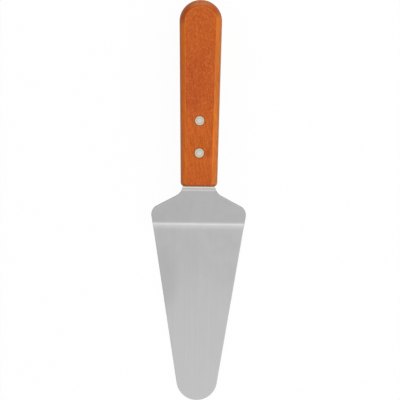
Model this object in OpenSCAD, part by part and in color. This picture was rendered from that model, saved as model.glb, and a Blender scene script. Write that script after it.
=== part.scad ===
// Pizza server: a cranked steel blade riveted into a slotted wooden handle.
// It lies along Y with the butt of the handle at +Y and the blade's tip at -Y.
// Z is 0 on the blade's underside, and X and Y are 0 at the middle of the plan.

/* [Overall] */
// Length over all, from the butt to the tip
overall_l = 256; // [240:1:280]

/* [Blade] */
// Thickness of the steel sheet
sheet_t = 1.2; // [0.8:0.1:1.6]
// Width between the shoulder corners before they are rounded
shoulder_w = 61.8; // [54:0.2:70]
// Radius of the rounded shoulders
shoulder_r = 6.1; // [3:0.1:9]
// Radius of the rounded tip
tip_r = 13; // [8:0.5:16]
// Width of the neck and of the tang behind it
neck_w = 20.4; // [16:0.2:22]
// Radius of the hollow between the neck and a shoulder
neck_r = 8.2; // [4:0.1:10]
// Length from the handle to the point where the neck would meet the shoulder line
neck_l = 3.4; // [3:0.1:5]
// Length from that point to the shoulder corner
shoulder_l = 10.9; // [9:0.1:14]

/* [Crank] */
// Angle at which the neck slopes down from the handle
crank_a = 30; // [20:1:40]
// Height of the tang above the blade
crank_drop = 13.3; // [10:0.1:15]
// Radius of the bend beside the handle, at the middle of the sheet
upper_bend_r = 6.2; // [4:0.1:8]
// Radius of the bend at the heel of the blade, at the middle of the sheet
heel_bend_r = 12.2; // [6:0.1:14]

/* [Tang] */
// Length of the tang inside the handle
tang_l = 55; // [52:1:70]
// Radius of the tang's end corners
tang_r = 3; // [1:0.5:6]

/* [Handle] */
// Length of the handle
handle_l = 119.2; // [115:0.1:125]
// Thickness of the handle
handle_t = 15; // [13:0.5:18]
// Width of the handle at its butt, which is a half round
butt_w = 27.2; // [25:0.1:30]
// Angle at which each side runs in towards the blade
side_a = 1.05; // [0.5:0.05:1.5]
// Radius of the rounded long edges
edge_r = 5; // [3:0.1:6.5]
// Angle between a flat face and the start of its rounded edge, which leaves a faint arris
edge_a = 16; // [0:1:25]
// Radius of the wider rounding at the end of the butt
butt_edge_r = 7; // [6.5:0.1:7.4]
// Distance from the butt's centre back to the axis that this rounding turns about
butt_edge_back = 2.1; // [1:0.1:3]
// Radius of the upright corners at the front end
front_corner_r = 2.8; // [1:0.2:4]
// Radius that breaks the edges of the front end
front_edge_r = 1; // [0.5:0.1:1.5]
// Radius of the saw that cuts the slot for the tang
saw_r = 75; // [60:5:100]

/* [Rivets] */
// Distance from the front end of the handle to the nearer rivet
rivet_inset = 21.4; // [16:0.1:26]
// Distance between the two rivets
rivet_pitch = 20.6; // [16:0.1:24]
// Diameter of the rivet heads
head_d = 6.2; // [5:0.1:8]
// Thickness of the rivet heads
head_t = 1; // [0.6:0.1:1.4]
// Depth of the heads below the face of the wood
head_sink = 0.1; // [0.05:0.05:0.2]
// Diameter of the sleeve that the post is driven into
sleeve_d = 4.2; // [3.6:0.1:4.6]
// Diameter of the post
post_d = 2.8; // [2.2:0.1:3]

/* [Hidden] */

$fn = 96;
far = 200;                  // Larger than the part, for blocks that only cut
hole_gap = 0.15;            // Room around a sleeve in its holes
seat_gap = 0.25;            // Room around a rivet head in its seat
post_gap = 0.01;            // Room around a post in its sleeve
end_gap = 0.4;              // Room past the end of a post
sleeve_lift = 1.2;          // Length of post left bare under a sleeve
slot_end = 1;               // Room in the slot past the tang
butt_edge_out = 0.4;        // Distance that the wider rounding passes outside the butt's end
head_edge = 0.25;           // Bevel round a rivet head
ring_r = 1.85;              // Radius of the ring that the setting tool leaves
ring_w = 0.5;               // Width of that ring
ring_t = 0.06;              // Depth of that ring

// Plan: where things stand along Y
butt_y = overall_l / 2;
front_y = butt_y - handle_l;
butt_r = butt_w / 2;
butt_centre_y = butt_y - butt_r;
tang_end_y = front_y + tang_l;
neck_corner = [neck_w / 2, front_y - neck_l];
shoulder_corner = [shoulder_w / 2, front_y - neck_l - shoulder_l];
tip_centre_y = tip_r - overall_l / 2;
front_rivet_y = front_y + rivet_inset;
rear_rivet_y = front_rivet_y + rivet_pitch;

// Angle of the blade's sides: each is the tangent from a shoulder corner to the tip
tip_to_shoulder = shoulder_corner - [0, tip_centre_y];
taper_a = atan2(tip_to_shoulder.x, tip_to_shoulder.y) - asin(tip_r / norm(tip_to_shoulder));
tip_corner = [0, tip_centre_y - tip_r / sin(taper_a)];

// Side view: the levels along Z, and the corners where the middle of the sheet would fold
tang_z = sheet_t / 2 + crank_drop;
handle_top_z = tang_z + handle_t / 2;
handle_under_z = tang_z - handle_t / 2;
seat_t = head_t + head_sink;
rivet_l = handle_t - 2 * seat_t;
upper_fold = [front_y - upper_bend_r * tan(crank_a / 2), tang_z];
heel_fold = upper_fold - crank_drop * [1 / tan(crank_a), 1];

function unit(v) = v / norm(v);
function flipped(p) = [-p.x, p.y];

// What is cut off to round a corner to radius r: all that lies outside the arc tangent to both sides.
// It reaches as far again past the corner, so that it cuts the sides cleanly.
module corner_cut(before, corner, after, r) {
    a = unit(before - corner);
    b = unit(after - corner);
    half = acos(a * b) / 2;
    to_corner = -unit(a + b) * r / sin(half);
    to_a = to_corner + a * r / tan(half);
    to_b = to_corner + b * r / tan(half);
    translate(corner - to_corner) difference() {
        polygon(2 * [[0, 0], to_a, to_corner, to_b]);
        circle(r);
    }
}

// Both the shape and its mirror image across the length
module both_sides() {
    children();
    mirror([1, 0, 0]) children();
}

// Outline of the blade, neck and tang as seen from above: a triangle of sheet,
// less what is behind the tang and the notches beside it, with its corners rounded
module blade_plan() {
    tang_corner = [neck_w / 2, tang_end_y];
    side_far = 2 * shoulder_corner - tip_corner;
    notch_far = 3 * shoulder_corner - 2 * neck_corner;
    difference() {
        polygon([tip_corner, side_far, flipped(side_far)]);
        translate([-far, tang_end_y]) square(2 * far);
        both_sides() difference() {
            polygon([neck_corner, notch_far, [far, far], [neck_corner.x, far]]);
            corner_cut(shoulder_corner, neck_corner, tang_corner, neck_r);
        }
        both_sides() corner_cut(neck_corner, shoulder_corner, tip_corner, shoulder_r);
        both_sides() corner_cut([0, tang_end_y], tang_corner, neck_corner, tang_r);
        corner_cut(shoulder_corner, tip_corner, flipped(shoulder_corner), tip_r);
    }
}

// Side view of all that lies under a face of the sheet, with Y along and Z up.
// The face is parallel to the middle of the sheet and the given height above it.
module under_face(rise) {
    shift = rise * [-tan(crank_a / 2), 1];
    heel = heel_fold + shift;
    upper = upper_fold + shift;
    level = [-far, heel.y];
    slope = 2 * upper - heel;
    difference() {
        translate([-far, -far]) square([2 * far, far + upper.y]);
        difference() {
            polygon([level, heel, slope, [-far, slope.y]]);
            corner_cut(level, heel, slope, heel_bend_r - rise);
        }
        corner_cut(heel, upper, [far, upper.y], upper_bend_r + rise);
    }
}

// Cranked side view of the sheet
module sheet_profile() {
    difference() {
        under_face(sheet_t / 2);
        under_face(-sheet_t / 2);
    }
}

// Copies of a shape on both rivet axes
module at_rivets() {
    for (y = [front_rivet_y, rear_rivet_y]) translate([0, y]) children();
}

module blade() {
    color("silver") difference() {
        intersection() {
            rotate([90, 0, 90]) linear_extrude(shoulder_w, center = true) sheet_profile();
            linear_extrude(far) blade_plan();
        }
        at_rivets() cylinder(d = sleeve_d + 2 * hole_gap, h = far);
    }
}

// What is cut off to round the edge of a section that is half_w wide: all that lies outside the arc,
// which ends upright at half_w and meets the flat face at edge_a
module edge_cut(half_w, r) {
    translate([half_w - r, handle_t / 2 - r * cos(edge_a)]) difference() {
        square(2 * r);
        circle(r);
    }
}

// Half of the handle's cross-section: it turns round the butt and runs along both sides
module handle_half_section() {
    difference() {
        translate([0, -handle_t / 2]) square([butt_r, handle_t]);
        for (turn = [0, 1]) mirror([0, turn]) edge_cut(butt_r, edge_r);
    }
}

// Handle before its front end is shaped, with the butt's centre at the origin
module handle_blank() {
    rotate(-side_a) rotate_extrude(angle = 180 + 2 * side_a) handle_half_section();
    both_sides() rotate(-side_a) rotate([90, 0, 0]) linear_extrude(handle_l) handle_half_section();
}

// Block that rounds a square edge along X, from its corner at the origin into +Y and +Z
module edge_cutter(r) {
    difference() {
        translate([-butt_w, -r, -r]) cube([2 * butt_w, 2 * r, 2 * r]);
        translate([0, r, r]) rotate([0, 90, 0]) cylinder(r = r, h = 3 * butt_w, center = true);
    }
}

// Half ring that rounds the end of the butt further than the sides, and dies out towards them
module butt_cutter() {
    rotate_extrude(angle = 180) edge_cut(butt_r + butt_edge_back + butt_edge_out, butt_edge_r);
}

// Limits of the handle in plan: the front end with its corners rounded
module handle_plan_limit() {
    half_front = butt_r / cos(side_a) - (butt_centre_y - front_y) * tan(side_a);
    corner = [half_front, front_y];
    side_far = corner + far * [tan(side_a), 1];
    difference() {
        translate([-far, front_y]) square(2 * far);
        both_sides() corner_cut([0, front_y], corner, side_far, front_corner_r);
    }
}

module handle() {
    color("chocolate") difference() {
        intersection() {
            translate([0, butt_centre_y, tang_z]) handle_blank();
            linear_extrude(far) handle_plan_limit();
        }
        translate([0, 0, tang_z]) for (turn = [0, 1]) mirror([0, 0, turn]) {
            translate([0, front_y, -handle_t / 2]) edge_cutter(front_edge_r);
            translate([0, butt_centre_y - butt_edge_back]) butt_cutter();
        }
        translate([0, tang_end_y + slot_end - saw_r, tang_z]) cylinder(r = saw_r, h = sheet_t, center = true);
        at_rivets() {
            cylinder(d = sleeve_d + 2 * hole_gap, h = far);
            translate([0, 0, handle_top_z - seat_t]) cylinder(d = head_d + 2 * seat_gap, h = far);
            translate([0, 0, handle_under_z + seat_t - far]) cylinder(d = head_d + 2 * seat_gap, h = far);
        }
    }
}

// Outer edge of a rivet head from its seat, at z 0, to the middle of its struck face
function head_edge_points() = [
    [head_d / 2, 0],
    [head_d / 2, head_t - head_edge],
    [head_d / 2 - head_edge, head_t],
    [ring_r + ring_w / 2, head_t],
    [ring_r, head_t - ring_t],
    [ring_r - ring_w / 2, head_t],
    [0, head_t]
];

// Hollow half of a rivet, with its head up and the seat of the head at z 0
module rivet_sleeve() {
    bore_r = post_d / 2 + post_gap;
    sleeve_r = sleeve_d / 2;
    sleeve_end = sleeve_lift - rivet_l;
    color("gainsboro") rotate_extrude() polygon(concat(
        [[0, 0], [bore_r, 0], [bore_r, sleeve_end], [sleeve_r, sleeve_end], [sleeve_r, 0]],
        head_edge_points()
    ));
}

// Solid half of a rivet, driven into the sleeve, with its head up and the seat of the head at z 0
module rivet_post() {
    post_end = end_gap - rivet_l;
    color("gainsboro") rotate_extrude() polygon(concat(
        [[0, post_end], [post_d / 2, post_end], [post_d / 2, 0]],
        head_edge_points()
    ));
}

// A rivet half in its seat on the upper face, or turned over in its seat on the underside
module upper_seat(y) translate([0, y, handle_top_z - seat_t]) children();
module under_seat(y) translate([0, y, handle_under_z + seat_t]) rotate([180, 0, 0]) children();

blade();
handle();
upper_seat(front_rivet_y) rivet_sleeve();  // front_rivet_sleeve
under_seat(front_rivet_y) rivet_post();  // front_rivet_post
upper_seat(rear_rivet_y) rivet_sleeve();  // rear_rivet_sleeve
under_seat(rear_rivet_y) rivet_post();  // rear_rivet_post
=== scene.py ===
"""Pizza server: a cranked steel blade riveted into a slotted wooden handle, with finishes and a stage."""

import math
from typing import NamedTuple

import bmesh
import bpy
from bpy.props import FloatProperty, FloatVectorProperty, PointerProperty
from mathutils import Color, Matrix, Vector


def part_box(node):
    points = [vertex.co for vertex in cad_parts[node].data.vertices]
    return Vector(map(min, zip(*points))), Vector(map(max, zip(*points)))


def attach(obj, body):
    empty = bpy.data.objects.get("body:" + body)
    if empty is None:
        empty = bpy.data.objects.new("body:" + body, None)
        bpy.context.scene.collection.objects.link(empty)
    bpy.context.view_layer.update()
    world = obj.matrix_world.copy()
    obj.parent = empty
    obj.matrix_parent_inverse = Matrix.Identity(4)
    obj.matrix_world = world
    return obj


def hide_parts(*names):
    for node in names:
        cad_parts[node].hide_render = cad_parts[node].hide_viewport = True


bl_info = {
    "name": "Pizza Server",
    "version": (1, 0, 0),
    "blender": (4, 5, 0),
    "location": "View3D > Sidebar > Server",
    "description": "Builds a riveted pizza server with its finishes and a studio stage",
    "category": "Object",
}

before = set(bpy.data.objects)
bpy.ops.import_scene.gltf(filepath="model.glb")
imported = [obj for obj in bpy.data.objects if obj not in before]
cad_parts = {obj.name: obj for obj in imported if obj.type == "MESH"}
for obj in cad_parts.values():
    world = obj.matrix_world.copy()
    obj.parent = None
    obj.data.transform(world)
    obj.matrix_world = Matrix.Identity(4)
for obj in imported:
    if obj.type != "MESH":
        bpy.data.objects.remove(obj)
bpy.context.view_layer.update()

MM = 0.001
AXIS_X = Vector((1, 0, 0))
AXIS_Y = Vector((0, 1, 0))
AXIS_Z = Vector((0, 0, 1))
WHITE = (1, 1, 1, 1)
BODY = "root"
SAME_PLACE = 0.00001  # Points closer than this are one point
REACH = 0.2  # Larger than the part, for shapes that only cut
CUTTER_STEPS = 96  # Sides of a round cutter
TURN_STEPS = 64  # Steps of a turned shape
CORNER_STEPS = 24  # Steps of a rounded corner of the sheet
BEND_STEPS = 16  # Steps of a bend of the sheet
EDGE_STEPS = 10  # Steps of a rounded edge of the handle
EASE_STEPS = 4  # Steps of an eased edge of metal

blade_low, blade_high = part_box("blade")
handle_low, handle_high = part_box("handle")
handle_middle_z = (handle_low.z + handle_high.z) / 2
butt_y = handle_high.y - handle_high.x


def rivet_places():
    """Places of the front and the rear rivet along Y"""
    places = []
    for name in ("front_rivet_sleeve", "rear_rivet_sleeve"):
        low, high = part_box(name)
        places.append((low.y + high.y) / 2)
    return places


def length(name, description, millimetres):
    """Property for a size, given in millimetres"""
    return FloatProperty(
        name=name, description=description, default=millimetres * MM, min=0, unit="LENGTH", precision=5
    )


def angle(name, description, degrees):
    """Property for an angle, given in degrees"""
    return FloatProperty(
        name=name, description=description, default=math.radians(degrees), subtype="ANGLE"
    )


def colour(name, description, red, green, blue):
    """Property for a colour, given with a screen's values of 0 to 255 and kept as linear light"""
    shade = [((value / 255 + 0.055) / 1.055) ** 2.4 for value in (red, green, blue)]
    return FloatVectorProperty(
        name=name, description=description, default=shade, size=3, subtype="COLOR", min=0, max=1
    )


def amount(name, description, value):
    """Property for a plain number from 0 up"""
    return FloatProperty(name=name, description=description, default=value, min=0)


class BladeSettings(bpy.types.PropertyGroup):
    """Sizes and colours of the steel blade"""

    sheet_t: length("Sheet", "Thickness of the steel sheet", 1.2)
    shoulder_w: length("Shoulder width", "Width between the shoulder corners before rounding", 61.8)
    shoulder_r: length("Shoulder radius", "Radius of the rounded shoulders", 6.1)
    tip_r: length("Tip radius", "Radius of the rounded tip", 13)
    neck_w: length("Neck width", "Width of the neck and of the tang behind it", 20.4)
    neck_r: length("Neck radius", "Radius of the hollow between the neck and a shoulder", 8.2)
    neck_l: length("Neck length", "Length from the handle to the corner between neck and shoulder", 3.4)
    shoulder_l: length("Shoulder length", "Length from that corner to the shoulder corner", 10.9)
    crank_a: angle("Crank angle", "Angle at which the neck slopes down from the handle", 30)
    upper_bend_r: length("Upper bend", "Radius of the bend beside the handle, in mid-sheet", 6.2)
    heel_bend_r: length("Heel bend", "Radius of the bend at the heel, in mid-sheet", 12.2)
    tang_r: length("Tang corners", "Radius of the tang's end corners", 3)
    edge_r: length("Edge radius", "Radius to which the cut edges of the sheet are eased", 0.3)
    steel_light: colour("Light steel", "Lighter clouds of the brushed sheet", 186, 186, 186)
    steel_dark: colour("Dark steel", "Darker clouds of the brushed sheet", 182, 182, 182)
    steel_worn: colour("Worn steel", "Sheet that use has polished", 192, 192, 192)
    steel_dull: colour("Dull steel", "Patch at the left that use has left dull", 175, 175, 175)
    steel_furrow: colour("Furrows", "Furrows of the brushing", 168, 168, 168)
    # Painted shade on the sheared edges of the sheet, which face aside
    steel_edge_shade: colour("Cut edges", "Sheared edges of the sheet, which are not polished", 115, 115, 115)
    # Darker steel on the bend beside the handle
    steel_dark_by_handle: colour("Grime", "Film that gathers on the bend beside the handle", 168, 166, 163)
    dark_by_handle_l: length("Grime length", "Distance from the handle at which that film ends", 4)
    # Painted highlight: a bright line on the steel along the handle's front
    steel_highlight_line: colour("Rubbed steel", "Line along the handle that wiping keeps bright", 214, 211, 206)
    highlight_l: length("Rubbed length", "Distance from the handle at which that line ends", 1.2)


class HandleSettings(bpy.types.PropertyGroup):
    """Sizes and colours of the wooden handle"""

    side_a: angle("Side angle", "Angle at which each side runs in towards the blade", 1.05)
    edge_r: length("Edge radius", "Radius of the rounded long edges", 5)
    edge_a: angle("Edge angle", "Angle between a flat face and the start of its rounded edge", 16)
    arris_w: length("Arris", "Width of the worn arris between a flat face and its rounded edge", 0.5)
    butt_edge_r: length("Butt rounding", "Radius of the wider rounding at the end of the butt", 7)
    butt_edge_back: length("Butt rounding back", "Distance from the butt's centre to its axis", 2.1)
    butt_edge_out: length("Butt rounding out", "Distance that it passes outside the butt's end", 0.4)
    corner_r: length("Front corners", "Radius of the upright corners at the front end", 2.8)
    front_r: length("Front edges", "Radius that breaks the edges of the front end", 1)
    saw_r: length("Saw radius", "Radius of the saw that cuts the slot for the tang", 75)
    slot_end: length("Slot end", "Room in the slot past the tang", 1)
    slot_gap: length("Slot room", "Room in the slot above and below the tang", 0.03)
    grain_a: angle("Grain angle", "Angle at which the grain runs off to the left of the handle's line", 8)
    face_red: colour("Red face", "Redder parts of the stained face, where hands darken it", 187, 83, 28)
    face_orange: colour("Orange face", "More orange parts of the stained face", 201, 97, 23)
    fleck_light: colour("Light flecks", "Short light flecks along the grain", 216, 122, 62)
    fleck_dark: colour("Dark flecks", "Short dark flecks along the grain", 166, 62, 4)
    # Right and left edges are lit and shaded copies of one sanded colour: painted light on the right,
    # painted shade on the left
    edge_gold_lit: colour("Right edges", "Sanded edges on the right, which took less stain", 211, 113, 24)
    edge_red_shaded: colour("Left edges", "Sanded edges on the left, which took a little more", 210, 100, 8)
    # Worn arris: stain rubbed thin, with a painted highlight
    arris_wear_and_highlight: colour("Worn arris", "Arris where the stain is rubbed thin", 218, 118, 44)
    # Painted sheen: the paler middle of the butt's end grain
    end_grain_sheen: colour("End grain", "Paler end grain in the middle of the butt", 204, 120, 64)
    end_dark: colour("Right end grain", "End grain on the right, which took more stain", 170, 69, 16)
    # Painted shade: the darker end grain on the left of the butt
    end_left_shaded: colour("Left end grain", "End grain on the left, which took most of it", 156, 58, 12)
    # Painted shade on the upright sides
    side_shade: colour("Sides", "Upright sides, which are duller than the edges", 156, 93, 46)
    # Painted shade on the edge of the front end
    front_edge_shade: colour("Front edge", "Edge of the front end, where wet has crept in", 134, 70, 40)
    front_grain: colour("Front end", "Duller end grain of the front end inside that edge", 176, 104, 62)
    # Painted shade in the seats of the rivets and round them
    seat_shade: colour("Rivet seats", "Dirt in the seats of the rivets and round them", 124, 70, 40)
    knot_red: colour("Knot", "Small knot beside the front rivet", 158, 58, 14)
    knot_x: length("Knot place", "Distance from the middle of the handle to the knot", 5.6)
    knot_w: length("Knot width", "Width of the knot", 3.2)


class RivetSettings(bpy.types.PropertyGroup):
    """Sizes and colours of the rivets"""

    head_d: length("Head", "Diameter of the rivet heads", 6.2)
    head_t: length("Head thickness", "Thickness of the rivet heads", 1)
    head_sink: length("Head depth", "Depth of the heads below the face of the wood", 0.1)
    head_edge_r: length("Head edge", "Radius of the rounded edge of a head", 0.25)
    seat_gap: length("Seat room", "Room around a rivet head in its seat", 0.12)
    sleeve_d: length("Sleeve", "Diameter of the sleeve that the post is driven into", 4.2)
    post_d: length("Post", "Diameter of the post", 2.8)
    hole_gap: length("Hole room", "Room around a sleeve in its holes", 0.15)
    sleeve_lift: length("Bare post", "Length of post left bare under a sleeve", 1.2)
    end_gap: length("Post end room", "Room past the end of a post", 0.4)
    post_gap: length("Post room", "Room around a post in its sleeve", 0.01)
    ring_r: length("Ring", "Radius of the ring that the setting tool leaves", 1.85)
    ring_w: length("Ring width", "Width of that ring", 0.5)
    ring_t: length("Ring depth", "Depth of that ring", 0.06)
    metal: colour("Metal", "Colour of the struck faces", 211, 206, 194)
    tarnish: colour("Tarnish", "Colour of the metal down in the ring", 138, 136, 118)
    # Painted reflection of the wood in the rim of each head
    rim_wood_reflection: colour("Stained rim", "Rim of a head, which took some wood finish", 208, 182, 150)


class StageSettings(bpy.types.PropertyGroup):
    """Floor, light and camera"""

    floor_w: length("Floor", "Width of the floor", 8000)
    floor_drop: length("Floor drop", "Hair between the blade and the floor", 0.1)
    floor_white: colour("Floor", "Colour of the floor", 246, 246, 246)
    floor_glow: amount("Floor glow", "Share of plain white in the floor that the camera sees", 0.96)
    ambient: amount("Ambient light", "Strength of the light from straight above", 0.66)
    horizon: amount("Horizon", "Light from the horizon, as a share of that from straight above", 0.86)
    camera_h: length("Camera height", "Height of the camera above the floor", 3000)
    view_w: length("View width", "Width that the camera sees at the part", 256.7)
    view_roll: angle("Camera roll", "Turn of the camera about its line of sight", 0.67)
    view_x: length("View offset across", "Distance of the view's middle from the part's", 0.8)
    view_y: length("View offset along", "Distance of the view's middle from the part's", 0.28)


# Values of a noise: its mean, what it seldom passes, and the limits of nearly all of it
NOISE_MIDDLE = 0.5
NOISE_LOW = 0.3
NOISE_HIGH = 0.7
NOISE_SPAN = (0.2, 0.8)

# Values of a noise between which a mark of that kind sets in and is full
FIGURE_SPAN = (0.25, 0.75)
SANDED_SPAN = (0.35, 0.65)
PATCHY_SPAN = (0.3, 0.6)
PIT_SPAN = (0.35, 0.7)

# Width and length of the marks in each finish
BRUSH_MARK = (0.22 * MM, 80 * MM)
CLOUD_MARK = (24 * MM, 30 * MM)
SMEAR_MARK = (6 * MM, 8 * MM)
FLECK_MARK = (0.6 * MM, 1.45 * MM)
LINE_MARK = (0.65 * MM, 14 * MM)
STREAK_MARK = (1.3 * MM, 30 * MM)
FIGURE_MARK = (16 * MM, 40 * MM)
CURL_MARK = (36 * MM, 22 * MM)
BLOTCH_MARK = (2 * MM, 2 * MM)
PIT_MARK = (1.2 * MM, 1.2 * MM)

# How far a surface faces up, 1 on a flat face and 0 on an upright one, where a look sets in and is full
CUT_UP = (0.78, 0.6)
ARRIS_INNER_UP = (0.9995, 0.996)
ARRIS_OUTER_UP = (0.955, 0.98)
BUTT_EDGE_UP = (0.985, 0.95)
BUTT_PALE_UP = (0.96, 0.75)
SIDE_UP = (0.98, 0.25)

# How far a surface faces aside, or to the blade where below 0, where a look sets in and is full
SANDED_ASIDE = (0.1, 0.3)
FRONT_EDGE_AHEAD = (-0.05, -0.45)
FRONT_FACE_AHEAD = (-0.55, -0.9)

# Distance from the middle of a spot, as a share of its size, where a look sets in and is full
DULL_OUT = (1.2, 0.3)
PALE_OUT = (1.2, 0.2)
SEAT_OUT = (1.16, 1)
KNOT_OUT = (1.4, 0.2)
RIM_OUT = (0.55, 1)
HEAD_OUT = (1, 0.9)


class Nodes:
    """Shader nodes of one tree, and the steps that are made of them"""

    def __init__(self, tree):
        self.tree = tree
        tree.nodes.clear()

    def put(self, value, socket):
        """Puts a value, a colour or a link into an input"""
        if isinstance(value, bpy.types.NodeSocket):
            self.tree.links.new(value, socket)
        elif isinstance(value, Color):
            socket.default_value = (*value, 1)
        else:
            socket.default_value = value

    def add(self, kind, inputs=None, **settings):
        """Adds a node with these settings and inputs, and returns its outputs"""
        made = self.tree.nodes.new(kind)
        for name, value in settings.items():
            setattr(made, name, value)
        for name, value in (inputs or {}).items():
            self.put(value, made.inputs[name])
        return made.outputs

    def calc(self, operation, first, second=0.0):
        """Result of an operation on two values or outputs"""
        return self.add("ShaderNodeMath", {0: first, 1: second}, operation=operation)[0]

    def product(self, first, *others):
        """Product of values or outputs"""
        for other in others:
            first = self.calc("MULTIPLY", first, other)
        return first

    def axes(self, vector):
        """X, Y and Z of a vector, by name"""
        return self.add("ShaderNodeSeparateXYZ", {0: vector})

    def ramp(self, value, low, high, start=0.0, end=1.0):
        """Output that runs smoothly from start to end while value goes from low to high"""
        inputs = {"Value": value, "From Min": low, "From Max": high, "To Min": start, "To Max": end}
        return self.add("ShaderNodeMapRange", inputs, interpolation_type="SMOOTHSTEP")[0]

    def blend(self, share, first, second):
        """Shader of two others, with that share of the second"""
        return self.add("ShaderNodeMixShader", {0: share, 1: first, 2: second})[0]


class Finish(Nodes):
    """A material in the making: its shader, its colour so far and its object's own coordinates"""

    def __init__(self, name):
        self.material = bpy.data.materials.new(name)
        self.material.use_nodes = True
        super().__init__(self.material.node_tree)
        self.shader = self.tree.nodes.new("ShaderNodeBsdfPrincipled")
        self.output = self.tree.nodes.new("ShaderNodeOutputMaterial")
        self.put(self.shader.outputs[0], self.output.inputs["Surface"])
        self.shade = WHITE
        self.place = self.add("ShaderNodeTexCoord")["Object"]

    def dress(self, values):
        """Gives the shader its colour and the named values"""
        for name, value in {"Base Color": self.shade, **values}.items():
            self.put(value, self.shader.inputs[name])

    def relief(self, height, depth, strength):
        """Gives the shader fine relief from a height of 0 to 1"""
        inputs = {"Height": height, "Distance": depth, "Strength": strength}
        self.put(self.add("ShaderNodeBump", inputs)[0], self.shader.inputs["Normal"])

    def mix(self, share, first, second):
        """Colour of two others, with that share of the second"""
        # The node has sockets for each kind of value, and these are the ones for colours
        return self.add("ShaderNodeMix", {0: share, 6: first, 7: second}, data_type="RGBA")[2]

    def cover(self, layer, *shares):
        """Lays a colour over the one so far, as far as the product of the shares"""
        self.shade = self.mix(self.product(*shares), self.shade, layer)

    def tone(self, *swings):
        """Lightens or darkens the colour so far by a product, where 0 leaves it as it is"""
        inputs = {"Value": self.calc("ADD", self.product(*swings), 1), "Color": self.shade}
        self.shade = self.add("ShaderNodeHueSaturation", inputs)[0]

    def facing(self):
        """X, Y and Z of the way that the surface faces, by name"""
        return self.axes(self.add("ShaderNodeNewGeometry")["Normal"])

    def grain(self, mark, place=None, turn=0.0, detail=3.0, roughness=0.5, distortion=0.0):
        """Noise drawn out along Y, with marks of about that width and length, turned in plan"""
        wide, long = mark
        inputs = {"Vector": place or self.place, "Rotation": (0, 0, turn)}
        turned = self.add("ShaderNodeMapping", inputs)[0]
        inputs = {"Vector": turned, "Scale": (1 / wide, 1 / long, 1 / wide)}
        drawn = self.add("ShaderNodeMapping", inputs)[0]
        inputs = {"Vector": drawn, "Scale": 1, "Detail": detail, "Roughness": roughness}
        return self.add("ShaderNodeTexNoise", inputs | {"Distortion": distortion})["Fac"]

    def bent(self, bend, reach):
        """Coordinates whose lines along Y wander aside with a noise, by a share of reach"""
        aside = self.product(self.calc("SUBTRACT", bend, NOISE_MIDDLE), reach)
        shift = self.add("ShaderNodeCombineXYZ", {"X": aside})[0]
        return self.add("ShaderNodeVectorMath", {0: self.place, 1: shift}, operation="ADD")[0]

    def away(self, x, y, wide, long):
        """Distance in plan from an upright axis, where 1 lies on an oval of that half width and length"""
        location = (-x / wide, -y / long, 0)
        scale = (1 / wide, 1 / long, 0)
        inputs = {"Vector": self.place, "Location": location, "Scale": scale}
        plan = self.add("ShaderNodeMapping", inputs)[0]
        return self.add("ShaderNodeVectorMath", {0: plan}, operation="LENGTH")["Value"]


class BrushedSteel(Finish):
    """Stainless sheet, brushed along its length and marked by use"""

    def __init__(self, settings):
        super().__init__("brushed_steel")
        self.along = self.axes(self.place)["Y"]
        streaks = self.grain(BRUSH_MARK)
        clouds = self.ramp(self.grain(CLOUD_MARK, detail=2), NOISE_LOW, NOISE_HIGH)
        self.shade = self.mix(clouds, settings.steel_dark, settings.steel_light)
        self.wear(settings)
        self.cover(settings.steel_furrow, self.ramp(streaks, NOISE_MIDDLE, NOISE_LOW, end=0.18))
        self.tone_by_handle(settings)
        # Painted shade on the cut and eased edges, where the surface faces aside
        upward = self.calc("ABSOLUTE", self.facing()["Z"])
        self.cover(settings.steel_edge_shade, self.ramp(upward, *CUT_UP))
        roughness = self.ramp(streaks, *NOISE_SPAN, start=0.16, end=0.22)
        self.dress({"Roughness": roughness, "Metallic": 1})
        self.relief(streaks, depth=0.003 * MM, strength=0.12)

    def wear(self, settings):
        """Adds polish towards the tip, a dull patch at the left, and smears that fade towards the tip"""
        plain_y = blade_low.y * 0.18
        polished_y = blade_low.y * 0.62
        self.cover(settings.steel_worn, self.ramp(self.along, plain_y, polished_y, end=0.8))
        dull_x = blade_low.x * 0.72
        dull_y = blade_low.y * 0.38
        out = self.away(dull_x, dull_y, wide=10 * MM, long=28 * MM)
        self.cover(settings.steel_dull, self.ramp(out, *DULL_OUT, end=0.7))
        faint_y = blade_low.y * 0.6
        strong_y = blade_low.y * 0.1
        strength = self.ramp(self.along, faint_y, strong_y, start=0.03, end=0.15)
        smears = self.grain(SMEAR_MARK, roughness=0.6)
        self.tone(self.calc("SUBTRACT", NOISE_MIDDLE, smears), strength)

    def tone_by_handle(self, settings):
        """Darkens the bend beside the handle, and paints a highlight along the handle as a bright line"""
        # Darker steel on the bend beside the handle
        dark_start_y = handle_low.y - settings.dark_by_handle_l
        dark_full_y = handle_low.y - settings.dark_by_handle_l * 0.6
        self.cover(settings.steel_dark_by_handle, self.ramp(self.along, dark_start_y, dark_full_y, end=0.65))
        # Painted highlight along the handle's front
        line_y = handle_low.y - settings.highlight_l
        bright_y = handle_low.y - settings.highlight_l * 0.5
        self.cover(settings.steel_highlight_line, self.ramp(self.along, line_y, bright_y))


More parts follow.
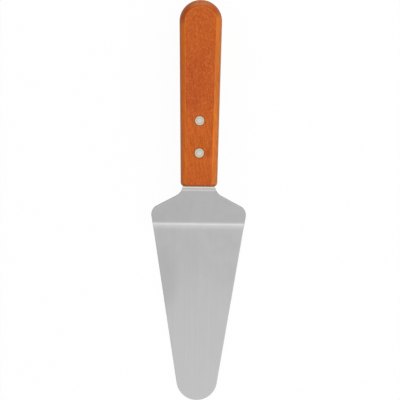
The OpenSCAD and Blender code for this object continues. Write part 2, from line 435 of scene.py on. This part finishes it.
class StainedWood(Finish):
    """Close-grained wood with a curl in it, under a reddish stain and satin lacquer"""

    def __init__(self, settings, rivets):
        super().__init__("stained_wood")
        self.front_y, self.rear_y = rivet_places()
        spot = self.axes(self.place)
        self.across = spot["X"]
        self.along = spot["Y"]
        way = self.facing()
        self.ahead = way["Y"]
        self.aside = self.calc("ABSOLUTE", way["X"])
        self.upward = self.calc("ABSOLUTE", way["Z"])
        # Share towards the right, which sets painted light on the right and painted shade on the left
        self.right = self.ramp(self.across, handle_low.x, 0)
        self.streaks = self.grain(STREAK_MARK, distortion=0.6)
        self.flecks = self.curled_flecks(settings)
        for step in (self.stain, self.sand, self.colour_butt_end, self.colour_front_end, self.wear, self.draw_lines):
            step(settings)
        self.add_spots(settings, rivets)
        roughness = self.ramp(self.streaks, *NOISE_SPAN, start=0.42, end=0.52)
        self.dress({"Roughness": roughness, "Specular IOR Level": 0.2})
        self.relief(self.flecks, depth=0.05 * MM, strength=0.2)

    def curled_flecks(self, settings):
        """Noise of short flecks on lines that wander aside, most of all at the butt"""
        reach = self.ramp(self.along, self.front_y, handle_high.y, start=8 * MM, end=26 * MM)
        curl = self.bent(self.grain(CURL_MARK, detail=1), reach)
        return self.grain(FLECK_MARK, curl, turn=-settings.grain_a, detail=2, roughness=0.6)

    def stain(self, settings):
        """Lays on the stain, redder at the grip and the front end, and flecks, fainter in front"""
        grip_start = self.rear_y + 14 * MM
        grip_middle = self.rear_y + 26 * MM
        behind = self.ramp(self.along, self.rear_y, grip_start)
        grip = self.product(self.ramp(self.along, handle_high.y, grip_middle), behind)
        handled = self.calc("MAXIMUM", grip, self.ramp(self.along, self.front_y, handle_low.y))
        figure = self.ramp(self.grain(FIGURE_MARK, detail=1), *FIGURE_SPAN)
        redness = self.product(self.calc("ADD", handled, figure), 0.5)
        self.shade = self.mix(redness, settings.face_orange, settings.face_red)
        share = self.ramp(self.along, handle_low.y, handle_high.y, start=0.42, end=0.64)
        self.cover(settings.fleck_light, self.ramp(self.flecks, NOISE_MIDDLE, NOISE_HIGH), share)
        self.cover(settings.fleck_dark, self.ramp(self.flecks, NOISE_MIDDLE, NOISE_LOW), share)

    def sand(self, settings):
        """Lightens the sanded edges, in streaks along the grain, with painted light on the right edges
        and painted shade on the left ones
        """
        edge_shade = self.mix(self.right, settings.edge_red_shaded, settings.edge_gold_lit)
        streaky = self.ramp(self.streaks, *SANDED_SPAN, start=0.5)
        self.cover(edge_shade, self.ramp(self.aside, *SANDED_ASIDE), streaky)

    def colour_butt_end(self, settings):
        """Stains the butt's end grain, blotched, further in at the left, with a painted sheen that makes
        it pale in the middle and painted shade that darkens it on the left
        """
        pale_r = handle_high.x * 0.8
        # Painted sheen, pale in the middle of the butt
        pale = self.product(
            self.ramp(self.away(0, handle_high.y, pale_r, pale_r), *PALE_OUT),
            self.ramp(self.grain(BLOTCH_MARK), *PATCHY_SPAN, start=0.4),
            self.ramp(self.upward, *BUTT_PALE_UP, start=0.4),
        )
        # Painted shade on the left of the butt's end grain
        shaded_end = self.mix(self.right, settings.end_left_shaded, settings.end_dark)
        end_shade = self.mix(pale, shaded_end, settings.end_grain_sheen)
        slant = 0.2
        aslant = self.calc("SUBTRACT", self.along, self.product(self.across, slant))
        first_y = butt_y - 2 * MM
        full_y = butt_y + 5 * MM
        near = self.ramp(aslant, first_y, full_y, end=0.85)
        self.cover(end_shade, self.ramp(self.upward, *BUTT_EDGE_UP), near)

    def colour_front_end(self, settings):
        """Dulls the front end, and darkens its edge and the face just behind it with painted shade"""
        edge_y = handle_low.y + settings.front_r
        near = self.ramp(self.along, edge_y + settings.front_r, edge_y, end=0.9)
        # Painted shade on the rounded edge of the front end
        self.cover(settings.front_edge_shade, self.ramp(self.ahead, *FRONT_EDGE_AHEAD), near)
        # Painted shade on the face just behind that edge
        shade_y = edge_y + settings.front_r * 0.7
        self.cover(settings.front_edge_shade, self.ramp(self.along, shade_y, edge_y, end=0.3))
        self.cover(settings.front_grain, self.ramp(self.ahead, *FRONT_FACE_AHEAD))

    def wear(self, settings):
        """Rubs the arris between face and edge thin in streaks, with a painted highlight, and darkens the
        sides with painted shade
        """
        # The arris: stain rubbed thin, and a painted highlight
        inner = self.ramp(self.upward, *ARRIS_INNER_UP)
        outer = self.ramp(self.upward, *ARRIS_OUTER_UP)
        streaky = self.ramp(self.streaks, *PATCHY_SPAN, start=0.5)
        self.cover(settings.arris_wear_and_highlight, inner, outer, streaky)
        # Painted shade on the upright sides
        self.cover(settings.side_shade, self.ramp(self.upward, *SIDE_UP, end=0.7))

    def draw_lines(self, settings):
        """Draws lines along the grain, stronger towards the rivets"""
        lines = self.grain(LINE_MARK, turn=-settings.grain_a, roughness=0.6)
        strength = self.ramp(self.along, handle_high.y, self.rear_y, start=0.4, end=1.1)
        self.tone(self.calc("SUBTRACT", lines, NOISE_MIDDLE), strength)

    def add_spots(self, settings, rivets):
        """Adds painted shade in the rivets' seats and round them, and the knot beside the front one"""
        seat_r = rivets.head_d / 2 + rivets.seat_gap
        # Painted shade in each seat and round it
        for y in (self.front_y, self.rear_y):
            out = self.away(0, y, seat_r, seat_r)
            self.cover(settings.seat_shade, self.ramp(out, *SEAT_OUT, end=0.5))
        out = self.away(settings.knot_x, self.front_y, settings.knot_w / 2, settings.knot_w)
        speckled = self.ramp(self.flecks, *PATCHY_SPAN, start=0.35, end=0.7)
        self.cover(settings.knot_red, self.ramp(out, *KNOT_OUT), speckled)


class RivetMetal(Finish):
    """Satin metal with tarnish down in its ring, where top is a struck face's height above the middle"""

    def __init__(self, settings, top):
        super().__init__("rivet_metal")
        pits = self.grain(PIT_MARK)
        self.shade = self.mix(self.ramp(pits, *PIT_SPAN, end=0.15), settings.metal, settings.tarnish)
        head_d = settings.head_d
        # Painted reflection of the wood round each head, on its rim
        for y in rivet_places():
            rim = self.ramp(self.away(0, y, head_d / 2, head_d / 2), *RIM_OUT)
            near = self.ramp(self.away(0, y, head_d, head_d), *HEAD_OUT)
            self.cover(settings.rim_wood_reflection, rim, near)
        height = self.calc("SUBTRACT", self.axes(self.place)["Z"], handle_middle_z)
        depth = self.calc("SUBTRACT", top, self.calc("ABSOLUTE", height))
        hair = 0.005 * MM
        self.cover(settings.tarnish, self.ramp(depth, hair, settings.ring_t, end=0.9))
        roughness = self.ramp(pits, *NOISE_SPAN, start=0.32, end=0.4)
        self.dress({"Roughness": roughness, "Metallic": 1})
        self.relief(pits, depth=0.002 * MM, strength=0.2)


def verts_in(items):
    """The vertices among some items of a shape"""
    return [item for item in items if isinstance(item, bmesh.types.BMVert)]


def join(bm, verts):
    """Joins vertices by edges, in a line"""
    for pair in zip(verts, verts[1:]):
        bm.edges.new(pair)


def ease(bm, edges, radius):
    """Rounds some edges of a shape"""
    bmesh.ops.bevel(
        bm, geom=edges, offset=radius, segments=EASE_STEPS, profile=0.5, affect="EDGES", material=-1
    )


def run_arc(bm, start, centre, axis, turn, steps):
    """Draws an arc from the vertex start round centre, and returns its last vertex"""
    made = bmesh.ops.spin(bm, geom=[start], cent=centre, axis=axis, angle=turn, steps=steps)
    return verts_in(made["geom_last"])[0]


def rounded_outline(bm, corners):
    """Draws a closed outline from corners, each with the radius of its arc, and returns the face in it"""
    first = None
    last = None
    for index, (corner, radius) in enumerate(corners):
        back = (corners[index - 1][0] - corner).normalized()
        ahead = (corners[(index + 1) % len(corners)][0] - corner).normalized()
        half = back.angle(ahead) / 2
        centre = corner + (back + ahead).normalized() * radius / math.sin(half)
        turn = math.copysign(math.pi - 2 * half, ahead.cross(back).z)
        start = bm.verts.new(corner + back * radius / math.tan(half))
        if last:
            bm.edges.new((last, start))
        first = first or start
        last = run_arc(bm, start, centre, AXIS_Z, turn, CORNER_STEPS)
    bm.edges.new((last, first))
    return bmesh.ops.contextual_create(bm, geom=bm.edges[:])["faces"][0]


def as_object(name, bm):
    """Puts a shape into the scene as an object at the origin"""
    mesh = bpy.data.meshes.new(name)
    bm.to_mesh(mesh)
    bm.free()
    made = bpy.data.objects.new(name, mesh)
    bpy.context.scene.collection.objects.link(made)
    return made


def cut_away(piece, bm):
    """Cuts a shape out of a piece"""
    cutter = as_object("cutter", bm)
    cut = piece.modifiers.new("cut", "BOOLEAN")
    cut.operation = "DIFFERENCE"
    cut.solver = "EXACT"
    cut.object = cutter
    shaped = piece.evaluated_get(bpy.context.evaluated_depsgraph_get())
    whole = piece.data
    piece.data = bpy.data.meshes.new_from_object(shaped)
    piece.modifiers.remove(cut)
    bpy.data.meshes.remove(whole)
    bpy.data.meshes.remove(cutter.data)


def drill(piece, radius, y, low=-REACH, high=REACH):
    """Cuts an upright round hole on the middle line of a piece, from the height low to high"""
    bm = bmesh.new()
    bmesh.ops.create_cone(
        bm,
        cap_ends=True,
        segments=CUTTER_STEPS,
        radius1=radius,
        radius2=radius,
        depth=high - low,
        matrix=Matrix.Translation((0, y, (low + high) / 2)),
    )
    cut_away(piece, bm)


def finish_piece(piece, finish, nodes, crease):
    """Smooths a piece up to the crease angle, gives it its finish, and lets it stand for its nodes"""
    piece.data.shade_smooth()
    piece.data.set_sharp_from_angle(angle=crease)
    even = piece.modifiers.new("even_shading", "WEIGHTED_NORMAL")
    even.keep_sharp = True
    piece.data.materials.clear()
    piece.data.materials.append(finish.material)
    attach(piece, BODY)
    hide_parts(*nodes)


class Bend(NamedTuple):
    """A bend of one face of the sheet in side view, from start to end along Y"""

    start: float
    end: float
    radius: float
    centre_z: float


class Crank:
    """Side view of the cranked sheet, where the rise of a face is its height above mid-sheet"""

    def __init__(self, settings):
        self.settings = settings
        self.slope = math.tan(settings.crank_a)
        self.sine = math.sin(settings.crank_a)
        self.lean = math.tan(settings.crank_a / 2)
        self.drop = blade_high.z - blade_low.z - settings.sheet_t
        self.upper_fold = handle_low.y - settings.upper_bend_r * self.lean
        self.heel_fold = self.upper_fold - self.drop / self.slope

    def level(self, rise):
        """Height of the flat part of the face at that rise"""
        return blade_low.z + self.settings.sheet_t / 2 + rise

    def bends(self, rise):
        """The heel's and the upper bend of the face at that rise"""
        heel_r = self.settings.heel_bend_r - rise
        upper_r = self.settings.upper_bend_r + rise
        level = self.level(rise)
        heel_start = self.heel_fold - (rise + heel_r) * self.lean
        upper_end = self.upper_fold + (upper_r - rise) * self.lean
        heel = Bend(heel_start, heel_start + heel_r * self.sine, heel_r, level + heel_r)
        upper = Bend(upper_end - upper_r * self.sine, upper_end, upper_r, level + self.drop - upper_r)
        return heel, upper

    def height(self, y, rise):
        """Height at y of the face at that rise"""
        level = self.level(rise)
        heel, upper = self.bends(rise)
        if y <= heel.start:
            return level
        if y < heel.end:
            return heel.centre_z - math.sqrt(heel.radius**2 - (y - heel.start) ** 2)
        if y <= upper.start:
            return level + (y - self.heel_fold + rise * self.lean) * self.slope
        if y < upper.end:
            return upper.centre_z + math.sqrt(upper.radius**2 - (upper.end - y) ** 2)
        return level + self.drop

    def tilt(self, y):
        """Sine of the slope of mid-sheet at y"""
        heel, upper = self.bends(0)
        if y <= heel.start or y >= upper.end:
            return 0
        return min((y - heel.start) / heel.radius, (upper.end - y) / upper.radius, self.sine)

    def rows(self):
        """Places along Y where the sheet is divided so that it can bend"""
        half = self.settings.sheet_t / 2
        places = []
        for upper_face, under_face in zip(self.bends(half), self.bends(-half)):
            start = min(upper_face.start, under_face.start)
            end = max(upper_face.end, under_face.end)
            places += [start + (end - start) * step / BEND_STEPS for step in range(BEND_STEPS + 1)]
        return places


class SERVER_OT_blade(bpy.types.Operator):
    """Cuts the blade from flat sheet, eases its edges and bends it"""

    bl_idname = "server.blade"
    bl_label = "Steel Blade"

    def execute(self, context):
        settings = context.scene.server_blade
        rivets = context.scene.server_rivets
        bm = bmesh.new()
        sheet = rounded_outline(bm, self.corners(settings))
        raised = bmesh.ops.extrude_face_region(bm, geom=[sheet])
        bmesh.ops.translate(bm, verts=verts_in(raised["geom"]), vec=AXIS_Z * settings.sheet_t)
        bmesh.ops.recalc_face_normals(bm, faces=bm.faces[:])
        rim = [edge for edge in bm.edges if edge.verts[0].co.z == edge.verts[1].co.z]
        ease(bm, rim, settings.edge_r)
        self.bend(bm, settings)
        piece = as_object("serving_blade", bm)
        for y in rivet_places():
            drill(piece, rivets.sleeve_d / 2 + rivets.hole_gap, y, low=blade_low.z)
        finish_piece(piece, BrushedSteel(settings), ["blade"], crease=math.radians(40))
        return {"FINISHED"}

    def corners(self, settings):
        """Corners of the flat sheet and their radii, from the tip round to the left shoulder"""
        neck = Vector((settings.neck_w / 2, handle_low.y - settings.neck_l, 0))
        shoulder = Vector((settings.shoulder_w / 2, neck.y - settings.shoulder_l, 0))
        tang = Vector((neck.x, blade_high.y, 0))
        tip_centre = Vector((0, blade_low.y + settings.tip_r, 0))
        reach = shoulder - tip_centre
        taper = math.atan2(reach.x, reach.y) - math.asin(settings.tip_r / reach.length)
        tip = tip_centre - AXIS_Y * settings.tip_r / math.sin(taper)
        right = [(shoulder, settings.shoulder_r), (neck, settings.neck_r), (tang, settings.tang_r)]
        left = [(Vector((-corner.x, corner.y, 0)), radius) for corner, radius in reversed(right)]
        return [(tip, settings.tip_r)] + right + left

    def bend(self, bm, settings):
        """Bends the flat sheet into its crank, with its cut edges kept square to it"""
        crank = Crank(settings)
        for y in crank.rows():
            everything = bm.verts[:] + bm.edges[:] + bm.faces[:]
            bmesh.ops.bisect_plane(bm, geom=everything, plane_co=AXIS_Y * y, plane_no=AXIS_Y)
        half = settings.sheet_t / 2
        for vert in bm.verts:
            share = vert.co.z / settings.sheet_t
            vert.co.y -= vert.co.z * crank.tilt(vert.co.y)
            under = crank.height(vert.co.y, -half)
            vert.co.z = under + share * (crank.height(vert.co.y, half) - under)


class SERVER_OT_handle(bpy.types.Operator):
    """Shapes the handle, saws its slot and drills it for the rivets"""

    bl_idname = "server.handle"
    bl_label = "Wooden Handle"

    def execute(self, context):
        settings = context.scene.server_handle
        blade = context.scene.server_blade
        rivets = context.scene.server_rivets
        bm = bmesh.new()
        self.add_butt(bm, settings)
        self.add_sides(bm, settings)
        self.add_front(bm, settings)
        bmesh.ops.recalc_face_normals(bm, faces=bm.faces[:])
        piece = as_object("wooden_handle", bm)
        slot_half = blade.sheet_t / 2 + settings.slot_gap
        saw_y = blade_high.y + settings.slot_end - settings.saw_r
        drill(piece, settings.saw_r, saw_y, handle_middle_z - slot_half, handle_middle_z + slot_half)
        seat_t = rivets.head_t + rivets.head_sink
        seat_r = rivets.head_d / 2 + rivets.seat_gap
        for y in rivet_places():
            drill(piece, rivets.sleeve_d / 2 + rivets.hole_gap, y)
            drill(piece, seat_r, y, low=handle_high.z - seat_t)
            drill(piece, seat_r, y, high=handle_low.z + seat_t)
        for side in (1, -1):
            cut_away(piece, self.butt_rounding(settings, side))
        wood = StainedWood(settings, rivets)
        finish_piece(piece, wood, ["handle"], crease=math.radians(12))
        return {"FINISHED"}

    def draw_edge(self, bm, settings, centre, half_w, radius):
        """Draws the arris and the rounded edge of a section of that half width, and returns both ends"""
        half_t = handle_high.z - handle_middle_z
        arc_centre = centre + Vector((half_w - radius, 0, half_t - radius * math.cos(settings.edge_a)))
        arris = arc_centre + Matrix.Rotation(settings.edge_a, 3, "Y") @ AXIS_Z * radius
        start_a = settings.edge_a + settings.arris_w / radius / 2
        face_end = bm.verts.new(arris - AXIS_X * settings.arris_w / 2)
        arc_start = bm.verts.new(arc_centre + Matrix.Rotation(start_a, 3, "Y") @ AXIS_Z * radius)
        bm.edges.new((face_end, arc_start))
        side_end = run_arc(bm, arc_start, arc_centre, AXIS_Y, math.pi / 2 - start_a, EDGE_STEPS)
        return face_end, side_end

    def add_butt(self, bm, settings):
        """Draws half a cross-section and turns it round the butt"""
        centre = Vector((0, butt_y, handle_middle_z))
        face_end, side_end = self.draw_edge(bm, settings, centre, handle_high.x, settings.edge_r)
        middle = bm.verts.new((0, centre.y, handle_high.z))
        level = bm.verts.new(centre + AXIS_X * handle_high.x)
        bm.edges.new((middle, face_end))
        bm.edges.new((side_end, level))
        upper = bm.verts[:] + bm.edges[:]
        lower = verts_in(bmesh.ops.duplicate(bm, geom=upper)["geom"])
        bmesh.ops.scale(bm, verts=lower, vec=(1, 1, -1), space=self.middle_level())
        bmesh.ops.remove_doubles(bm, verts=bm.verts[:], dist=SAME_PLACE)
        section = bm.verts[:] + bm.edges[:]
        bmesh.ops.spin(bm, geom=section, cent=centre, axis=AXIS_Z, angle=math.pi, steps=TURN_STEPS)
        bmesh.ops.remove_doubles(bm, verts=bm.verts[:], dist=SAME_PLACE)

    def butt_rounding(self, settings, side):
        """Half ring that rounds the butt's end further, on the upper face (1) or the lower one (-1)"""
        bm = bmesh.new()
        axis = Vector((0, butt_y - settings.butt_edge_back, handle_middle_z))
        half_w = handle_high.x + settings.butt_edge_back + settings.butt_edge_out
        face_end, side_end = self.draw_edge(bm, settings, axis, half_w, settings.butt_edge_r)
        arc_start = face_end.link_edges[0].other_vert(face_end)
        face_end.co += face_end.co - arc_start.co
        outside = side_end.co + AXIS_X * settings.butt_edge_r
        over = AXIS_Z * settings.butt_edge_r
        corners = [bm.verts.new(place) for place in (outside, outside + over, face_end.co + over)]
        join(bm, [side_end] + corners + [face_end])
        section = bm.verts[:] + bm.edges[:]
        bmesh.ops.spin(bm, geom=section, cent=axis, axis=AXIS_Z, angle=math.pi, steps=TURN_STEPS)
        bmesh.ops.holes_fill(bm, edges=self.open_end(bm))
        bmesh.ops.scale(bm, verts=bm.verts[:], vec=(1, 1, side), space=self.middle_level())
        bmesh.ops.recalc_face_normals(bm, faces=bm.faces[:])
        return bm

    def middle_level(self):
        """Space whose level 0 is the middle of the handle's thickness"""
        return Matrix.Translation((0, 0, -handle_middle_z))

    def open_end(self, bm):
        """Edges round each end of a shape that is still open"""
        return [edge for edge in bm.edges if edge.is_boundary]

    def extend(self, bm):
        """Extends the open end, and returns the new end's vertices, which still lie on the old one"""
        return verts_in(bmesh.ops.extrude_edge_only(bm, edges=self.open_end(bm))["geom"])

    def add_sides(self, bm, settings):
        """Runs the cross-section along the tapered sides up to the front corners"""
        run = butt_y - handle_low.y - settings.corner_r
        inward = run * math.tan(settings.side_a)
        end = self.extend(bm)
        bmesh.ops.translate(bm, verts=end, vec=-AXIS_Y * run)
        for side in (-1, 1):
            flank = [vert for vert in end if vert.co.x * side > SAME_PLACE]
            bmesh.ops.translate(bm, verts=flank, vec=-AXIS_X * side * inward)

    def add_front(self, bm, settings):
        """Rounds the front end in a few steps and closes it"""
        half_w = max(vert.co.x for edge in self.open_end(bm) for vert in edge.verts)
        half_t = (handle_high.z - handle_low.z) / 2
        size_x = half_w
        size_z = half_t
        place = handle_low.y + settings.corner_r
        for step in range(1, EDGE_STEPS + 1):
            turn = math.pi / 2 * step / EDGE_STEPS
            depth = settings.corner_r * (1 - math.sin(turn))
            new_x = half_w - settings.corner_r * (1 - math.cos(turn))
            into_edge = max(settings.front_r - depth, 0)
            new_z = half_t - settings.front_r + math.sqrt(settings.front_r**2 - into_edge**2)
            end = self.extend(bm)
            bmesh.ops.translate(bm, verts=end, vec=AXIS_Y * (handle_low.y + depth - place))
            drawn_in = (new_x / size_x, 1, new_z / size_z)
            bmesh.ops.scale(bm, verts=end, vec=drawn_in, space=self.middle_level())
            size_x = new_x
            size_z = new_z
            place = handle_low.y + depth
        bmesh.ops.edgeloop_fill(bm, edges=self.open_end(bm))


class SERVER_OT_rivets(bpy.types.Operator):
    """Turns the sleeve and the post of each rivet and seats them in the handle"""

    bl_idname = "server.rivets"
    bl_label = "Rivets"

    def execute(self, context):
        settings = context.scene.server_rivets
        seat = (handle_high.z - handle_low.z) / 2 - settings.head_t - settings.head_sink
        lift = Matrix.Translation((0, 0, seat))
        metal = RivetMetal(settings, seat + settings.head_t)
        # A sleeve faces up, and a post is turned over to face down
        halves = (
            ("sleeve", 0, self.sleeve_points(settings, seat)),
            ("post", math.pi, self.post_points(settings, seat)),
        )
        for end, y in zip(("front", "rear"), rivet_places()):
            for half, turn, shank in halves:
                bm = self.turned(shank + self.head_points(settings), settings)
                upright = Matrix.Translation((0, y, handle_middle_z)) @ Matrix.Rotation(turn, 4, AXIS_X)
                bmesh.ops.transform(bm, verts=bm.verts[:], matrix=upright @ lift)
                piece = as_object(f"{end}_{half}_turned", bm)
                nodes = [f"{end}_rivet_{half}"]
                finish_piece(piece, metal, nodes, crease=math.radians(35))
        return {"FINISHED"}

    def sleeve_points(self, settings, seat):
        """Radius and height of the bore and the outside of a sleeve, with the seat of its head at 0"""
        bore = settings.post_d / 2 + settings.post_gap
        outside = settings.sleeve_d / 2
        end = settings.sleeve_lift - 2 * seat
        return [(0, 0), (bore, 0), (bore, end), (outside, end), (outside, 0)]

    def post_points(self, settings, seat):
        """Radius and height of the outside of a post, with the seat of its head at 0"""
        end = settings.end_gap - 2 * seat
        return [(0, end), (settings.post_d / 2, end), (settings.post_d / 2, 0)]

    def head_points(self, settings):
        """Radius and height of a head, from its seat to the middle of its struck face"""
        rim = settings.head_d / 2
        top = settings.head_t
        ring = settings.ring_r
        half_ring = settings.ring_w / 2
        struck = [(ring + half_ring, top), (ring, top - settings.ring_t), (ring - half_ring, top)]
        return [(rim, 0), (rim, top)] + struck + [(0, top)]

    def turned(self, points, settings):
        """Shape turned from a line of points, with the edge of its head rounded"""
        bm = bmesh.new()
        join(bm, [bm.verts.new((radius, 0, height)) for radius, height in points])
        bmesh.ops.spin(
            bm,
            geom=bm.verts[:] + bm.edges[:],
            cent=(0, 0, 0),
            axis=AXIS_Z,
            angle=2 * math.pi,
            steps=TURN_STEPS,
            use_merge=True,
        )
        bmesh.ops.remove_doubles(bm, verts=bm.verts[:], dist=SAME_PLACE)
        bmesh.ops.recalc_face_normals(bm, faces=bm.faces[:])
        rim = settings.head_d / 2 - SAME_PLACE
        head_edge = [
            edge for edge in bm.edges
            if all(vert.co.to_2d().length > rim and vert.co.z > SAME_PLACE for vert in edge.verts)
        ]
        ease(bm, head_edge, settings.head_edge_r)
        return bm


class SERVER_OT_stage(bpy.types.Operator):
    """Sets up the floor, the light and the camera"""

    bl_idname = "server.stage"
    bl_label = "Stage"

    def execute(self, context):
        settings = context.scene.server_stage
        self.add_floor(settings)
        self.add_world(context, settings)
        self.add_lamps()
        self.add_camera(context, settings)
        context.scene.view_settings.view_transform = "Standard"
        return {"FINISHED"}

    def seen(self, nodes):
        """Output that is 1 where the camera sees the surface, also in a reflection or through glass"""
        path = nodes.add("ShaderNodeLightPath")
        seen = path["Is Camera Ray"]
        for ray in ("Is Glossy Ray", "Is Transmission Ray"):
            seen = nodes.calc("MAXIMUM", seen, path[ray])
        return seen

    def add_floor(self, settings):
        """Lays a plain white floor under the part"""
        bm = bmesh.new()
        drop = Matrix.Translation((0, 0, -settings.floor_drop))
        bmesh.ops.create_grid(bm, x_segments=1, y_segments=1, size=settings.floor_w / 2, matrix=drop)
        floor = as_object("floor", bm)
        finish = Finish("white_floor")
        finish.shade = settings.floor_white
        finish.dress({"Roughness": 0.9, "Specular IOR Level": 0})
        glow = finish.add("ShaderNodeEmission", {"Color": WHITE, "Strength": 1})[0]
        share = finish.product(self.seen(finish), settings.floor_glow)
        both = finish.blend(share, finish.shader.outputs[0], glow)
        finish.put(both, finish.output.inputs["Surface"])
        floor.data.materials.append(finish.material)

    def add_world(self, context, settings):
        """Surrounds the part with even white light"""
        world = bpy.data.worlds.new("studio")
        world.use_nodes = True
        nodes = Nodes(world.node_tree)
        upward = nodes.axes(nodes.add("ShaderNodeTexCoord")["Generated"])["Z"]
        gloss = nodes.ramp(upward, 0, 1, start=settings.horizon)
        camera_ray = nodes.add("ShaderNodeLightPath")["Is Camera Ray"]
        bright = nodes.calc("MAXIMUM", gloss, camera_ray)
        white = nodes.add("ShaderNodeBackground", {"Color": WHITE, "Strength": bright})[0]
        level = nodes.product(gloss, settings.ambient)
        soft = nodes.add("ShaderNodeBackground", {"Color": WHITE, "Strength": level})[0]
        both = nodes.blend(self.seen(nodes), soft, white)
        nodes.add("ShaderNodeOutputWorld", {"Surface": both})
        context.scene.world = world

    def add_lamps(self):
        """Hangs a wide lamp on the right, a low one behind the butt, and panels that the bends mirror"""
        self.add_lamp("right_lamp", (0.9, 0.1, 0.9), size=(1.2, 1.0), brightness=1.3, mirrored=False)
        self.add_lamp("right_panel", (0.98, 0.1, 0.98), size=(1.3, 1.1), brightness=0.4)
        self.add_lamp("back_lamp", (0, 1.2, 0.5), size=(1.2, 0.5), brightness=0.7, mirrored=False)
        self.add_lamp("back_panel", (0, 1.3, 0.54), size=(1.3, 0.54), brightness=0.3)
        front_w = 1.6
        front_z = 1.0
        for name, y, depth, brightness in (
            ("front_panel", -0.577, 0.93, 0.09),
            ("middle_panel", -0.7, 0.65, 0.1),
            ("inner_panel", -0.81, 0.41, 0.12),
            ("front_strip", -0.854, 0.1, 0.5),
        ):
            self.add_lamp(name, (0, y, front_z), size=(front_w, depth), brightness=brightness)

    def add_lamp(self, name, place, size, brightness, mirrored=True):
        """Adds a soft lamp that faces the middle of the part, where a brightness of 1 looks white"""
        lamp = bpy.data.lights.new(name, "AREA")
        lamp.shape = "RECTANGLE"
        lamp.size, lamp.size_y = size
        lamp.energy = brightness * math.pi * lamp.size * lamp.size_y
        made = bpy.data.objects.new(name, lamp)
        made.location = place
        made.rotation_euler = (-Vector(place)).to_track_quat("-Z", "Y").to_euler()
        made.visible_glossy = mirrored
        bpy.context.scene.collection.objects.link(made)

    def add_camera(self, context, settings):
        """Looks straight down on the part with a long lens"""
        data = bpy.data.cameras.new("camera")
        data.lens = data.sensor_width * settings.camera_h / settings.view_w
        camera = bpy.data.objects.new("camera", data)
        camera.location = (settings.view_x, settings.view_y, settings.camera_h)
        camera.rotation_euler = (0, 0, settings.view_roll)
        context.scene.collection.objects.link(camera)
        context.scene.camera = camera


class SERVER_PT_panel(bpy.types.Panel):
    """Lists the pieces in the order in which they are made, and their settings"""

    bl_idname = "SERVER_PT_panel"
    bl_label = "Pizza Server"
    bl_space_type = "VIEW_3D"
    bl_region_type = "UI"
    bl_category = "Server"

    def draw(self, context):
        for operator in OPERATORS:
            self.layout.operator(operator.bl_idname)
        for name in SETTINGS:
            settings = getattr(context.scene, name)
            box = self.layout.box()
            for key in settings.__annotations__:
                box.prop(settings, key)


SETTINGS = {
    "server_blade": BladeSettings,
    "server_handle": HandleSettings,
    "server_rivets": RivetSettings,
    "server_stage": StageSettings,
}
OPERATORS = (SERVER_OT_blade, SERVER_OT_handle, SERVER_OT_rivets, SERVER_OT_stage)


def register():
    """Registers the settings, the operators and the panel"""
    for name, group in SETTINGS.items():
        bpy.utils.register_class(group)
        setattr(bpy.types.Scene, name, PointerProperty(type=group))
    for operator in OPERATORS:
        bpy.utils.register_class(operator)
    bpy.utils.register_class(SERVER_PT_panel)


def unregister():
    """Takes out what register put in"""
    bpy.utils.unregister_class(SERVER_PT_panel)
    for operator in reversed(OPERATORS):
        bpy.utils.unregister_class(operator)
    for name, group in SETTINGS.items():
        delattr(bpy.types.Scene, name)
        bpy.utils.unregister_class(group)


def main():
    """Makes every piece and the stage"""
    register()
    bpy.ops.server.blade()
    bpy.ops.server.handle()
    bpy.ops.server.rivets()
    bpy.ops.server.stage()


if __name__ == "__main__":
    main()
